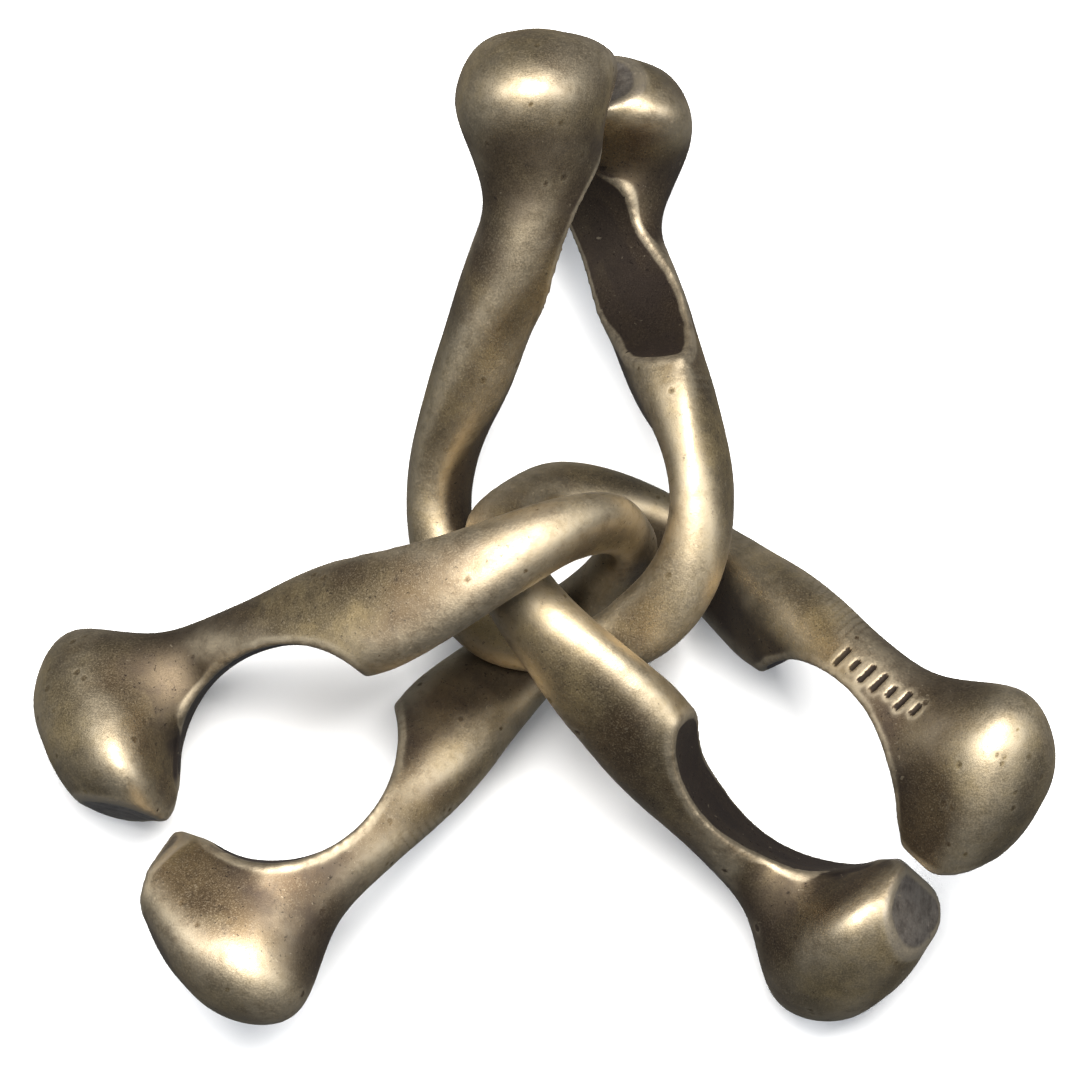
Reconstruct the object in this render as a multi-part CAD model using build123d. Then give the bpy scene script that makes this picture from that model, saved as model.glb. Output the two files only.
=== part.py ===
from build123d import *
import copy
import math
import os

# Three identical cast rings, each an open loop twisted along its length, linked through one
# another. A ring is drawn upright first: the U-bend sits at height 0, the two bulbs are at the
# top and the ring is the same after half a turn about Z. All sizes are in millimetres.

RING_LENGTH = 50.0          # U-bend to the top of the bulbs
HALF_POINTS = 14            # steps along each side of a cross-section
OUTER_ROUNDNESS = 2.15      # superellipse power of the side facing out
INNER_ROUNDNESS = 3.2       # squarer power of the side facing the loop

# One arm, from the U-bend to the bulb. Each row is one cross-section:
# height, reach from the ring's axis, turn about the axis in degrees, half width,
# depth towards the loop, depth away from the loop, roll about the arm in degrees.
ARM = [
    (3.4, 0.0, 180, 2.0, 0.8, 3.3, 0),
    (5.0, 5.8, 179, 2.1, 2.1, 4.0, 0),
    (8.5, 9.4, 178, 2.8, 2.1, 3.4, -3),
    (13.5, 11.0, 179, 3.5, 2.1, 2.4, -9),
    (18.0, 10.6, 184, 4.2, 2.8, 1.9, -28),
    (22.0, 9.4, 195, 4.7, 3.9, 2.0, -49),
    (25.5, 8.7, 216, 4.3, 4.4, 2.1, -59),
    (29.0, 8.9, 238, 3.7, 4.3, 2.2, -55),
    (33.0, 9.5, 260, 3.5, 4.2, 2.8, -43),
    (37.0, 10.1, 271, 3.8, 4.4, 3.9, -23),
    (40.5, 10.8, 272, 4.9, 5.1, 5.9, -1),
    (44.5, 9.8, 269, 6.0, 9.3, 9.2, 20),
    (48.0, 9.2, 273, 5.4, 6.5, 6.8, 7),
    (49.3, 8.9, 272, 3.3, 3.9, 4.3, 3),
    (49.9, 8.8, 271, 1.4, 1.7, 1.8, 0),
]
UPRIGHT_FROM = 36.0         # above this height the sections lie level

EYE_HEIGHT = 33.7           # centre of the hole between the necks
EYE_HALF_HEIGHT = 8.8
EYE_HALF_WIDTH = 8.1
EYE_TURN = 160.0            # direction the hole runs through, degrees

SLOT_TURN = 235.0           # the narrow slit between the bulbs
SLOT_HALF_WIDTH = 0.4
WEDGE_TURN = 264.0          # the two slanted faces that open the slit upwards
WEDGE_SLANT = 46.0          # degrees from upright
WEDGE_ROOT = 44.0           # height where the two slanted faces would meet
SLOT_HEIGHTS = (40.0, RING_LENGTH + 2)  # the slit's lower and upper ends
CUT_REACH = 30.0            # how far every cut runs out past the ring

# How each ring lies on the table: U-bend position (x, y, z), heading and rise of its long
# axis, and roll about that axis, in degrees.
PLACES = {
    "upper_ring": ((2.5, -10.6, 12.5), 89.8, 7.0, 242.8),
    "left_ring": ((8.3, 1.3, 19.0), -147.0, -11.0, 19.3),
    "right_ring": ((-2.0, 5.7, 8.2), -44.8, 11.6, 47.3),
}


def level(turn):
    """Unit vector in the XY plane at an angle in degrees."""
    return Vector(math.cos(math.radians(turn)), math.sin(math.radians(turn)), 0)


def centre(row):
    height, reach, turn = row[:3]
    return level(turn) * reach + Vector(0, 0, height)


def half_turn(point):
    """The same point on the other arm."""
    return Vector(-point.X, -point.Y, point.Z)


def superpower(value, power):
    return math.copysign(abs(value) ** (2 / power), value)


def arm_direction(index):
    """Direction the arm runs at one cross-section."""
    here = centre(ARM[index])
    if here.Z > UPRIGHT_FROM:
        return Vector(0, 0, 1)
    before = centre(ARM[index - 1]) if index else half_turn(centre(ARM[1]))
    return (centre(ARM[index + 1]) - before).normalized()


def section_axes(index):
    """Directions towards the loop and across the arm at one cross-section."""
    along = arm_direction(index)
    up = Vector(0, 0, 1)
    to_axis = level(ARM[index][2]) * -1
    inward = (up - along * up.dot(along)) + (to_axis - along * to_axis.dot(along))
    inward = inward.normalized()
    across = along.cross(inward)
    tilt = math.radians(ARM[index][6])
    return (
        inward * math.cos(tilt) + across * math.sin(tilt),
        across * math.cos(tilt) - inward * math.sin(tilt),
    )


def half_section(index, depth, power):
    """Points over one side of a cross-section, from one edge of the arm to the other."""
    inward, across = section_axes(index)
    half_width = ARM[index][3]
    points = []
    for step in range(HALF_POINTS + 1):
        angle = math.pi * (step / HALF_POINTS - 0.5)
        rise = depth * superpower(math.cos(angle), power)
        side = half_width * superpower(math.sin(angle), power)
        points.append(centre(ARM[index]) + inward * rise + across * side)
    return points


def section(index, turned=False):
    """One closed cross-section, as a squarer inner curve and a rounder outer curve."""
    inward, _ = section_axes(index)
    inner = half_section(index, ARM[index][4], INNER_ROUNDNESS)
    outer = half_section(index, -ARM[index][5], OUTER_ROUNDNESS)[::-1]
    if turned:
        inward = half_turn(inward)
        inner = [half_turn(p) for p in inner][::-1]
        outer = [half_turn(p) for p in outer][::-1]
    return Wire([
        Edge.make_spline(inner, tangents=[inward, inward * -1]),
        Edge.make_spline(outer, tangents=[inward * -1, inward]),
    ])


def ring_blank():
    """The whole ring as one loft, from the top of one bulb round the U-bend to the other."""
    last = len(ARM) - 1
    chain = [section(i, turned=True) for i in range(last, 0, -1)]
    chain += [section(i) for i in range(last + 1)]
    return Solid.make_loft(chain)


def eye_cutter():
    plane = Plane(origin=(0, 0, EYE_HEIGHT), x_dir=(0, 0, 1), z_dir=level(EYE_TURN))
    hole = plane * Ellipse(EYE_HALF_HEIGHT, EYE_HALF_WIDTH)
    return extrude(hole, amount=CUT_REACH, both=True)


def gap_cutter():
    """Slit plus wedge that part the two bulbs."""
    low, high = SLOT_HEIGHTS
    slit_plane = Plane(origin=(0, 0, (low + high) / 2), x_dir=level(SLOT_TURN), z_dir=(0, 0, 1))
    slit = slit_plane * Box(2 * SLOT_HALF_WIDTH, 2 * CUT_REACH, high - low)
    rise = high - WEDGE_ROOT
    spread = rise * math.tan(math.radians(WEDGE_SLANT))
    wedge_plane = Plane(
        origin=(0, 0, WEDGE_ROOT), x_dir=level(WEDGE_TURN),
        z_dir=level(WEDGE_TURN - 90),
    )
    side = wedge_plane.to_local_coords(Vector(0, 0, WEDGE_ROOT + 1)).Y
    outline = wedge_plane * make_face(
        Polyline((0, 0), (spread, rise * side), (-spread, rise * side), close=True)
    )
    return slit + extrude(outline, amount=CUT_REACH, both=True)


def ring():
    return ring_blank() - eye_cutter() - gap_cutter()


def placed(shape, place):
    position, heading, rise, roll = place
    turn = Rotation(0, 0, heading) * Rotation(0, 90 - rise, 0) * Rotation(0, 0, roll)
    return Location(position) * turn * shape


def puzzle():
    """The three rings, with the origin on the table under the middle of the whole."""
    one = ring()
    rings = {name: placed(one, place) for name, place in PLACES.items()}
    box = Compound(children=[copy.copy(r) for r in rings.values()]).bounding_box()
    shift = Location((-box.center().X, -box.center().Y, -box.min.Z))
    return {name: shift * shape for name, shape in rings.items()}


if __name__ == "__main__":
    os.makedirs("parts", exist_ok=True)
    for name, shape in puzzle().items():
        shape.label = name
        export_step(shape, f"parts/{name}.step")
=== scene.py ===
"""Three linked cast rings in antique brass: finished castings, floor, studio light and camera."""

import math
import random

import bpy
import numpy as np
from mathutils import Matrix, Vector, kdtree, noise


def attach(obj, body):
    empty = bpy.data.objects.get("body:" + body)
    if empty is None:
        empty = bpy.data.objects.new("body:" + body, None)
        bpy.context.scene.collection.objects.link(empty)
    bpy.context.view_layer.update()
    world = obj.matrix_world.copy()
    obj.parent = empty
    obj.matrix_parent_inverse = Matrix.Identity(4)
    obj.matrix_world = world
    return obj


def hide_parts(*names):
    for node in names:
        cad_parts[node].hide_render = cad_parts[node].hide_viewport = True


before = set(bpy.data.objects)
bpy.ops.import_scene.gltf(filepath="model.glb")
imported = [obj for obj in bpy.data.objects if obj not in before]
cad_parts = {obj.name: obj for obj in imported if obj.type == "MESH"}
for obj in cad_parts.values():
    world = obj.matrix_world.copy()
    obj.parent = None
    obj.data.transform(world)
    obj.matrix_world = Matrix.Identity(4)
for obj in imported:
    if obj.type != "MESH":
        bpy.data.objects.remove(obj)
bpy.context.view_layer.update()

# Lengths below are in mm, unless a comment says metres.
MM = 0.001

# The ring places and the camera are given in a frame of their own. This shift takes them to the
# shared frame, whose origin is on the table under the middle of the linked rings.
ORIGIN_SHIFT = Vector((0.151, -1.010, 0.046))

# Each ring's U-bend position, then heading, rise and roll in degrees. In its own frame a ring
# stands upright, with the U-bend at height 0 and the two bulbs at the top, at a height of 50.
RING_PLACES = {
    "upper_ring": ((2.5, -10.6, 12.5), 89.8, 7.0, 242.8),
    "left_ring": ((8.3, 1.3, 19.0), -147.0, -11.0, 19.3),
    "right_ring": ((-2.0, 5.7, 8.2), -44.8, 11.6, 47.3),
}
RING_BODIES = {"upper_ring": "upper", "left_ring": "left", "right_ring": "right"}
RING_SEEDS = {"upper_ring": 11, "left_ring": 23, "right_ring": 37}

# The openings cut through a ring, in its own frame: the eye between the necks, and the slit and
# the wedge that part the bulbs. Turns and the slant are in degrees.
EYE_HEIGHT, EYE_HALF_HEIGHT, EYE_HALF_WIDTH, EYE_TURN = 33.7, 8.8, 8.1, 160.0
SLIT_TURN, SLIT_HALF_WIDTH = 235.0, 0.4
WEDGE_TURN, WEDGE_SLANT, WEDGE_ROOT = 264.0, 46.0, 44.0
CUT_BAND = 0.28             # how near a cut face a vertex counts as on it
GAP_FROM = 39.0             # height where the gap's faces begin
NECK_HEIGHTS = (29.0, 44.0)
BULB_FROM = 36.0            # height where the bulbs begin

# Surface of the castings.
SKIN_GRID = 0.225           # grid of the finished mesh
EASE_ROUNDS = 4             # smoothing that eases the sharp edges
HELD_ROUNDS = 40            # smoothing of all but the cut faces
FREE_ROUNDS = 4             # smoothing of the whole surface
WEAR_ROUNDS = 6             # blur that tells worn edges from creases
FORM_ROUNDS = 150           # blur that tells broad ridges from broad hollows
SLOW_WAVE, QUICK_WAVE = 0.06, 0.010
PITS = 110                  # casting pits on each ring
PIT_RADIUS = (0.22, 0.36)
PIT_DEPTH = (0.01, 0.045)
PITS_PASSED_OVER = 0.55     # share of the pits below the bulbs that is left out
MARK_HEIGHTS = (22.0, 31.0)
MARK_DEPTH = 0.012

# Sunk bars on the right ring's neck, in the shared frame.
STAMP_CENTRE = Vector((25.1, -13.0, 0.0))
STAMP_ALONG = Vector((0.71, -0.70, 0.0))
STAMP_ACROSS = Vector((0.70, 0.71, 0.0))
STAMP_HALF_LENGTHS = (0.9, 0.55, 0.9, 0.9, 0.55, 0.9, 0.55)
STAMP_STEP = 1.08
STAMP_HALF_WIDTH = 0.25
STAMP_DEPTH = 0.16
STAMP_EDGE = 0.16           # width of the slope at the edge of a bar

# Colours of the metal, linear.
GOLD = (0.38, 0.29, 0.15, 1)
OLIVE = (0.21, 0.162, 0.095, 1)
BROWN = (0.058, 0.044, 0.037, 1)
TAN = (0.125, 0.082, 0.048, 1)
PEWTER = (0.34, 0.30, 0.26, 1)
DULL = (0.17, 0.145, 0.125, 1)
SOOT = (0.02, 0.016, 0.015, 1)
WORN = (0.56, 0.47, 0.33, 1)

# Noise fields of the material, coarse to fine: scale per metre, detail and roughness.
FIELDS = {
    "stain": (70, 3, 0.55),
    "cloud": (160, 5, 0.62),
    "mottled": (900, 5, 0.7),
    "speck": (2600, 3, 0.75),
    "grain": (7500, 2, 0.6),
}
MASKS = ("wear", "form", "sunk", "inside", "neck", "eye", "gap")
BUMP_STRENGTH = 0.55
BUMP_HEIGHT = 0.00005       # metres

# Studio, in metres and watts.
FLOOR_HALF = 3.0
SKY_COLOUR, SKY_STRENGTH = (0.8, 0.88, 1.0, 1), 0.16
LAMP_AIM = Vector((0, 0, 0.015))
LAMPS = {
    "key": ((-0.06, 0.12, 0.62), (0.40, 0.30), 10.5, (1, 0.98, 0.95)),
    "left": ((-0.5, 0.1, 0.42), (0.3, 0.3), 1.6, (0.93, 0.96, 1)),
    "right": ((0.45, 0.0, 0.42), (0.3, 0.3), 1.6, (0.93, 0.96, 1)),
}

CAMERA_PLACE = Vector((-50.2, -55.5, 398.2))
CAMERA_TARGET = Vector((0.0, 0.0, 14.65))
CAMERA_RIGHT = Vector((0.992, 0.0, 0.13))
CAMERA_LENS = 167.5
CAMERA_SENSOR = 36


# ---------------------------------------------------------------- mesh helpers

def ring_matrix(name):
    """From a ring's own frame to the shared frame."""
    position, heading, rise, roll = RING_PLACES[name]
    place = Matrix.Translation(Vector(position) + ORIGIN_SHIFT)
    turn = Matrix.Rotation(math.radians(heading), 4, "Z")
    tip = Matrix.Rotation(math.radians(90 - rise), 4, "Y")
    spin = Matrix.Rotation(math.radians(roll), 4, "Z")
    return place @ turn @ tip @ spin


def skinned(source, name):
    """A fine, evenly meshed copy of a CAD ring, with its sharp edges eased as a casting's are."""
    piece = bpy.data.objects.new(name, source.data.copy())
    bpy.context.scene.collection.objects.link(piece)
    skin = piece.modifiers.new("skin", "REMESH")
    skin.mode = "VOXEL"
    skin.voxel_size = SKIN_GRID * MM
    ease = piece.modifiers.new("ease", "SMOOTH")
    ease.factor = 0.5
    ease.iterations = EASE_ROUNDS
    graph = bpy.context.evaluated_depsgraph_get()
    mesh = bpy.data.meshes.new_from_object(piece.evaluated_get(graph))
    piece.modifiers.clear()
    piece.data = mesh
    mesh.name = name
    mesh.materials.clear()
    mesh.shade_smooth()
    return piece


def mesh_arrays(mesh):
    """A mesh's points in mm, its vertex normals and its edges."""
    count = len(mesh.vertices)
    points = np.empty(count * 3)
    mesh.vertices.foreach_get("co", points)
    normals = np.empty(count * 3)
    mesh.vertex_normals.foreach_get("vector", normals)
    edges = np.empty(len(mesh.edges) * 2, dtype=int)
    mesh.edges.foreach_get("vertices", edges)
    return points.reshape(-1, 3) / MM, normals.reshape(-1, 3), edges.reshape(-1, 2)


def moved(mesh, points):
    """Put a mesh's vertices at points in mm, and read it again."""
    mesh.vertices.foreach_set("co", (points * MM).ravel())
    mesh.update()
    return mesh_arrays(mesh)


def blur(values, edges, rounds):
    """Average each vertex's value with its neighbours', a number of times."""
    for _ in range(rounds):
        total = values.copy()
        share = np.ones(len(values))
        for a, b in ((0, 1), (1, 0)):
            total += np.bincount(edges[:, a], values[edges[:, b]], len(values))
            share += np.bincount(edges[:, a], minlength=len(values))
        values = total / share
    return values


def blurred_points(points, edges, rounds):
    return np.stack([blur(points[:, i], edges, rounds) for i in range(3)], axis=1)


def relaxed(points, edges, held, rounds):
    """Smooth the surface where it isn't held, so that no facet of the source mesh shows."""
    free = (1 - held)[:, None]
    for _ in range(rounds):
        points = points + (blurred_points(points, edges, 1) - points) * free
    return points


def bulge(points, normals, edges, rounds):
    """How far each vertex stands proud of the blurred surface: ridges above 0, hollows below."""
    return ((points - blurred_points(points, edges, rounds)) * normals).sum(axis=1)


def fade(distance, span):
    """0 up to a limit, rising to 1 over a span past it."""
    return np.clip(distance / span, 0, 1)


def near(distance):
    """1 on a cut face, falling to 0 beside it."""
    return np.clip(1.6 - np.abs(distance) / CUT_BAND, 0, 1)


def store(mesh, name, values):
    layer = mesh.attributes.new(name, "FLOAT", "POINT")
    layer.data.foreach_set("value", np.asarray(values, dtype=np.float32))


# ---------------------------------------------------------------- where a ring's features lie

def eye_faces(local):
    """1 on the band that the eye cuts, else 0."""
    turn = math.radians(EYE_TURN)
    side = -local[:, 0] * math.sin(turn) + local[:, 1] * math.cos(turn)
    rise = local[:, 2] - EYE_HEIGHT
    ratio = np.hypot(side / EYE_HALF_WIDTH, rise / EYE_HALF_HEIGHT)
    return near((ratio - 1) * EYE_HALF_WIDTH)


def gap_faces(local):
    """1 on the slit and wedge faces between the bulbs, else 0."""
    wedge, slit, slant = (math.radians(a) for a in (WEDGE_TURN, SLIT_TURN, WEDGE_SLANT))
    out = np.abs(local[:, 0] * math.cos(wedge) + local[:, 1] * math.sin(wedge))
    rise = local[:, 2] - WEDGE_ROOT
    slanted = near(out * math.cos(slant) - rise * math.sin(slant))
    across = np.abs(local[:, 0] * math.cos(slit) + local[:, 1] * math.sin(slit))
    straight = near(across - SLIT_HALF_WIDTH)
    return np.maximum(slanted, straight) * fade(local[:, 2] - GAP_FROM, 2)


def neck_band(local):
    """1 on the necks, fading out towards the arms and the bulbs."""
    low, high = NECK_HEIGHTS
    return fade(local[:, 2] - low, 7) * fade(high - local[:, 2], 4)


def facing_in(local, local_normals):
    """1 where the surface looks at the ring's long axis, 0 where it looks along or away."""
    axis_gap = np.hypot(local[:, 0], local[:, 1])
    to_axis = -local_normals[:, :2] * local[:, :2]
    return np.clip(to_axis.sum(axis=1) / np.maximum(axis_gap, 0.01), 0, 1)


# ---------------------------------------------------------------- relief of a casting

def waviness(local):
    """Unevenness of the cast and hand-finished surface."""
    slow = np.array([noise.noise(Vector(p) * 0.16) for p in local])
    quick = np.array([noise.noise(Vector(p) * 0.55 + Vector((7, 0, 3))) for p in local])
    return SLOW_WAVE * slow + QUICK_WAVE * quick


def pits(local, seed):
    """Small casting pits, thickest on the bulbs."""
    chooser = random.Random(seed)
    tree = kdtree.KDTree(len(local))
    for index, point in enumerate(local):
        tree.insert(point, index)
    tree.balance()
    depth = np.zeros(len(local))
    placed = 0
    while placed < PITS:
        index = chooser.randrange(len(local))
        if local[index][2] < BULB_FROM and chooser.random() < PITS_PASSED_OVER:
            continue
        radius = chooser.uniform(*PIT_RADIUS)
        deep = chooser.uniform(*PIT_DEPTH)
        for _, vertex, distance in tree.find_range(local[index], radius):
            fall = (1 - (distance / radius) ** 2) ** 2
            depth[vertex] = min(depth[vertex], -deep * fall)
        placed += 1
    return depth


def grind_marks(local):
    """Short file marks across the ridge of one arm."""
    low, high = MARK_HEIGHTS
    one_arm = fade(local[:, 0] + local[:, 1], 2)
    along = fade(local[:, 2] - low, 1.5) * fade(high - local[:, 2], 1.5)
    ridge = fade(np.hypot(local[:, 0], local[:, 1]) - 10.4, 0.8)
    wave = np.maximum(0, np.sin(local[:, 2] * 9.0 + 0.7 * np.sin(local[:, 0])))
    return -MARK_DEPTH * along * ridge * wave * one_arm


def stamp(points, normals):
    """Generic mark on the right ring's neck: plain sunk bars of two lengths."""
    offset = points - np.array(STAMP_CENTRE)
    run = offset @ np.array(STAMP_ALONG)
    side = offset @ np.array(STAMP_ACROSS)
    depth = np.zeros(len(points))
    for index, half_length in enumerate(STAMP_HALF_LENGTHS):
        place = (index - (len(STAMP_HALF_LENGTHS) - 1) / 2) * STAMP_STEP
        inside = fade(STAMP_HALF_WIDTH - np.abs(run - place), STAMP_EDGE)
        inside *= fade(half_length - np.abs(side), STAMP_EDGE)
        depth -= STAMP_DEPTH * inside
    return depth * fade(normals[:, 2] - 0.3, 0.2)


def casting(node):
    """The finished ring that stands for one CAD ring."""
    piece = skinned(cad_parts[node], node + "_casting")
    mesh = piece.data
    points, normals, edges = mesh_arrays(mesh)
    inverse = np.array(ring_matrix(node).inverted())
    local = points @ inverse[:3, :3].T + inverse[:3, 3]
    cut = np.maximum(eye_faces(local), gap_faces(local))
    points = relaxed(points, edges, np.clip(blur(cut, edges, 4) * 1.5, 0, 1), HELD_ROUNDS)
    points = relaxed(points, edges, np.zeros(len(points)), FREE_ROUNDS)
    points, normals, edges = moved(mesh, points)

    sunk = pits(local, RING_SEEDS[node]) + grind_marks(local)
    if node == "right_ring":
        sunk = sunk + stamp(points, normals)
    lift = waviness(local) + sunk
    points, normals, edges = moved(mesh, points + normals * lift[:, None])

    store(mesh, "wear", np.clip(bulge(points, normals, edges, WEAR_ROUNDS) / 0.02, -1, 1))
    store(mesh, "form", np.clip(bulge(points, normals, edges, FORM_ROUNDS) / 0.25, -1, 1))
    store(mesh, "sunk", np.clip(-sunk / 0.06, 0, 1))
    # the facing-in and eye masks place the painted shade on the inner sides and in the eye
    store(mesh, "inside", blur(facing_in(local, normals @ inverse[:3, :3].T), edges, 4))
    store(mesh, "neck", neck_band(local))
    store(mesh, "eye", blur(eye_faces(local), edges, 7))
    store(mesh, "gap", blur(gap_faces(local), edges, 2))
    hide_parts(node)
    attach(piece, RING_BODIES[node])
    return piece


# ---------------------------------------------------------------- antique brass

class Nodes:
    """Short helpers to wire one node material."""

    def __init__(self, material):
        material.use_nodes = True
        self.tree = material.node_tree
        self.tree.nodes.clear()

    def new(self, kind, **values):
        node = self.tree.nodes.new(kind)
        for key, value in values.items():
            setattr(node, key, value)
        return node

    def feed(self, socket, value):
        """Link a socket to another one, or set it to a plain value."""
        if isinstance(value, bpy.types.NodeSocket):
            self.tree.links.new(value, socket)
        else:
            socket.default_value = value

    def attribute(self, name):
        return self.new("ShaderNodeAttribute", attribute_name=name).outputs["Fac"]

    def noise(self, vector, scale, detail, rough):
        node = self.new("ShaderNodeTexNoise")
        self.feed(node.inputs["Vector"], vector)
        self.feed(node.inputs["Scale"], scale)
        self.feed(node.inputs["Detail"], detail)
        self.feed(node.inputs["Roughness"], rough)
        return node.outputs["Fac"]

    def ramp(self, value, low, high, start=0.0, end=1.0):
        """Start at low, end at high, eased between."""
        node = self.new("ShaderNodeMapRange", interpolation_type="SMOOTHSTEP")
        self.feed(node.inputs["Value"], value)
        for key, number in (("From Min", low), ("From Max", high), ("To Min", start), ("To Max", end)):
            self.feed(node.inputs[key], number)
        return node.outputs["Result"]

    def combine(self, how, a, b):
        node = self.new("ShaderNodeMath", operation=how)
        self.feed(node.inputs[0], a)
        self.feed(node.inputs[1], b)
        return node.outputs[0]

    def add(self, a, b):
        return self.combine("ADD", a, b)

    def times(self, a, b):
        return self.combine("MULTIPLY", a, b)

    def larger(self, a, b):
        return self.combine("MAXIMUM", a, b)

    def mix(self, share, a, b):
        """Colour a, with a share of colour b. Sockets 6, 7 and 2 are the node's colour sockets."""
        node = self.new("ShaderNodeMix", data_type="RGBA")
        self.feed(node.inputs["Factor"], share)
        self.feed(node.inputs[6], a)
        self.feed(node.inputs[7], b)
        return node.outputs[2]


def scratch_field(n, place):
    """Noise drawn out along one slanted direction."""
    stretch = n.new("ShaderNodeMapping")
    stretch.inputs["Scale"].default_value = (2400, 2400, 260)
    stretch.inputs["Rotation"].default_value = (0.9, 0.5, 0.8)
    n.feed(stretch.inputs["Vector"], place)
    return n.noise(stretch.outputs["Vector"], 1.0, 2, 0.5)


def patina_and_shade_share(n, mask, field):
    """Dark patina in hollows and on the necks, and painted shade on the inner sides and in the eye."""
    hollow = n.ramp(mask["form"], 0.1, -0.4, 0, 0.9)
    neck = n.times(n.ramp(mask["neck"], 0.1, 0.9, 0, 0.8), n.ramp(field["cloud"], 0.36, 0.58, 0.35, 1.0))
    # painted shade: inner sides that look at the ring's axis, and the eye's walls, are darkened
    inside = n.ramp(mask["inside"], 0.25, 0.85, 0, 0.7)
    eye = n.times(n.ramp(mask["eye"], 0.2, 0.8, 0, 0.95), n.ramp(field["cloud"], 0.3, 0.62, 0.6, 1.0))
    return n.larger(n.larger(n.larger(hollow, neck), inside), eye)


def soot_share(n, mask, field):
    """Near-black dirt in creases, in pits and marks, and in fine specks."""
    crease = n.ramp(mask["wear"], -0.15, -0.9, 0, 0.7)
    sunk = n.ramp(mask["sunk"], 0.25, 0.9, 0, 0.85)
    return n.larger(n.larger(crease, sunk), n.ramp(field["speck"], 0.61, 0.68, 0, 0.8))


def metal_tone(n, mask, field, patina_and_shade, soot):
    """The metal's colour, as layers from the ground up."""
    cut_metal = n.mix(n.ramp(field["mottled"], 0.35, 0.7), PEWTER, DULL)
    rubbed = n.times(n.ramp(mask["wear"], 0.2, 0.95, 0, 0.7), n.ramp(field["mottled"], 0.3, 0.6, 0.5, 1.0))
    layers = (
        (n.ramp(field["stain"], 0.44, 0.6, 0, 0.75), TAN),
        (n.ramp(field["mottled"], 0.46, 0.72, 0, 0.35), BROWN),
        (n.ramp(field["grain"], 0.52, 0.7, 0, 0.3), WORN),
        (n.ramp(field["grain"], 0.48, 0.3, 0, 0.28), BROWN),
        # painted shade on the inner sides and in the eye, with dark patina in hollows and on the necks
        (patina_and_shade, BROWN),
        (soot, SOOT),
        (n.ramp(mask["gap"], 0.3, 0.8, 0, 0.8), cut_metal),
        (rubbed, WORN),
        (n.ramp(field["scratch"], 0.7, 0.76, 0, 0.3), WORN),
    )
    tone = n.mix(n.ramp(field["cloud"], 0.34, 0.68), OLIVE, GOLD)
    for share, colour in layers:
        tone = n.mix(share, tone, colour)
    return tone


def metal_roughness(n, field, patina_and_shade, soot):
    rough = n.ramp(field["cloud"], 0.3, 0.7, 0.49, 0.56)
    rough = n.add(rough, n.times(soot, 0.2))
    rough = n.add(rough, n.times(patina_and_shade, 0.06))
    return n.add(rough, n.ramp(field["grain"], 0.35, 0.65, -0.05, 0.05))


def metal_grain(n, field):
    """Normal of the finest grain, on top of the modelled relief."""
    height = n.add(n.times(field["mottled"], 0.3), n.times(field["speck"], 0.25))
    height = n.add(height, n.times(field["grain"], 0.35))
    height = n.add(height, n.times(field["scratch"], 0.15))
    bump = n.new("ShaderNodeBump")
    bump.inputs["Strength"].default_value = BUMP_STRENGTH
    bump.inputs["Distance"].default_value = BUMP_HEIGHT
    n.feed(bump.inputs["Height"], height)
    return bump.outputs["Normal"]


def antique_brass():
    material = bpy.data.materials.new("antique_brass_cast")
    n = Nodes(material)
    place = n.new("ShaderNodeTexCoord").outputs["Object"]
    mask = {name: n.attribute(name) for name in MASKS}
    field = {name: n.noise(place, *settings) for name, settings in FIELDS.items()}
    field["scratch"] = scratch_field(n, place)
    # dark patina in hollows and on the necks, and painted shade on the inner sides and in the eye
    patina_and_shade = patina_and_shade_share(n, mask, field)
    soot = soot_share(n, mask, field)

    shader = n.new("ShaderNodeBsdfPrincipled")
    shader.inputs["Metallic"].default_value = 1.0
    n.feed(shader.inputs["Base Color"], metal_tone(n, mask, field, patina_and_shade, soot))
    n.feed(shader.inputs["Roughness"], metal_roughness(n, field, patina_and_shade, soot))
    n.feed(shader.inputs["Normal"], metal_grain(n, field))
    out = n.new("ShaderNodeOutputMaterial")
    n.feed(out.inputs["Surface"], shader.outputs["BSDF"])
    return material


# ---------------------------------------------------------------- studio

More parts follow.
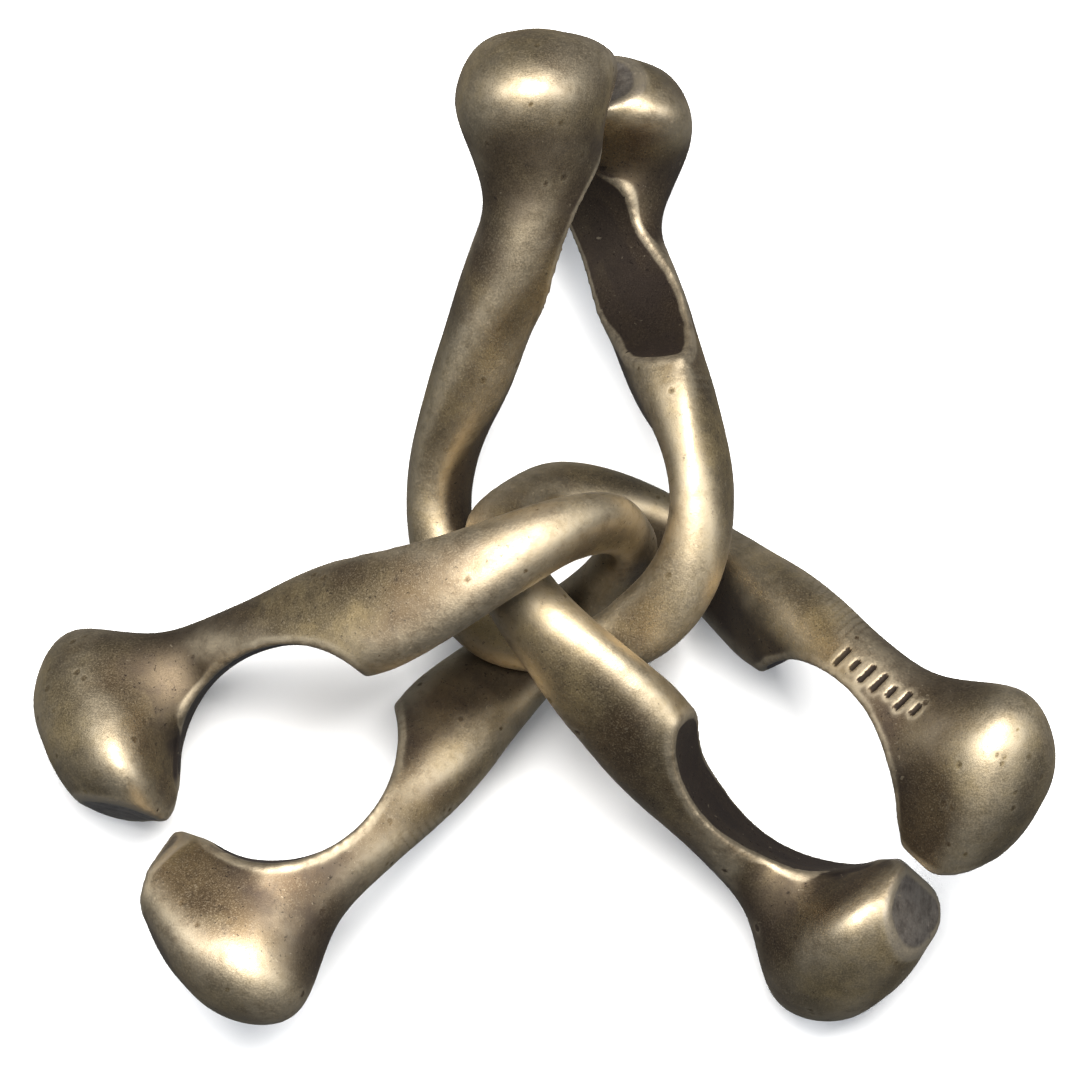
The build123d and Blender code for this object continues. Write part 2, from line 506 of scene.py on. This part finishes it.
def floor():
    """A plain white ground, which the metal doesn't mirror."""
    half = FLOOR_HALF
    mesh = bpy.data.meshes.new("floor")
    corners = [(-half, -half, 0), (half, -half, 0), (half, half, 0), (-half, half, 0)]
    mesh.from_pydata(corners, [], [(0, 1, 2, 3)])
    plane = bpy.data.objects.new("floor", mesh)
    bpy.context.scene.collection.objects.link(plane)
    material = bpy.data.materials.new("floor_white")
    material.use_nodes = True
    shader = material.node_tree.nodes["Principled BSDF"]
    shader.inputs["Base Color"].default_value = (0.9, 0.9, 0.9, 1)
    shader.inputs["Roughness"].default_value = 0.85
    shader.inputs["Specular IOR Level"].default_value = 0.1
    mesh.materials.append(material)
    plane.visible_glossy = False


def softbox(name, place, size, power, colour):
    """A rectangular lamp that looks at the middle of the rings."""
    light = bpy.data.lights.new(name, "AREA")
    light.shape = "RECTANGLE"
    light.size, light.size_y = size
    light.energy = power
    light.color = colour
    lamp = bpy.data.objects.new(name, light)
    lamp.location = place
    lamp.rotation_euler = (LAMP_AIM - Vector(place)).to_track_quat("-Z", "Y").to_euler()
    bpy.context.scene.collection.objects.link(lamp)


def studio():
    bpy.context.scene.view_settings.view_transform = "Standard"
    world = bpy.data.worlds.new("studio")
    bpy.context.scene.world = world
    world.use_nodes = True
    background = world.node_tree.nodes["Background"]
    background.inputs["Color"].default_value = SKY_COLOUR
    background.inputs["Strength"].default_value = SKY_STRENGTH
    for name, settings in LAMPS.items():
        softbox(name, *settings)


def camera():
    data = bpy.data.cameras.new("camera")
    data.sensor_fit = "HORIZONTAL"
    data.sensor_width = CAMERA_SENSOR
    data.lens = CAMERA_LENS
    data.clip_start = 0.01
    data.clip_end = 20
    back = (CAMERA_PLACE - CAMERA_TARGET).normalized()
    up = back.cross(CAMERA_RIGHT).normalized()
    right = up.cross(back)
    place = (CAMERA_PLACE + ORIGIN_SHIFT) * MM
    rig = bpy.data.objects.new("camera", data)
    rig.matrix_world = Matrix.Translation(place) @ Matrix((right, up, back)).transposed().to_4x4()
    bpy.context.scene.collection.objects.link(rig)
    bpy.context.scene.camera = rig


camera()
floor()
studio()
brass = antique_brass()
for ring in RING_PLACES:
    casting(ring).data.materials.append(brass)
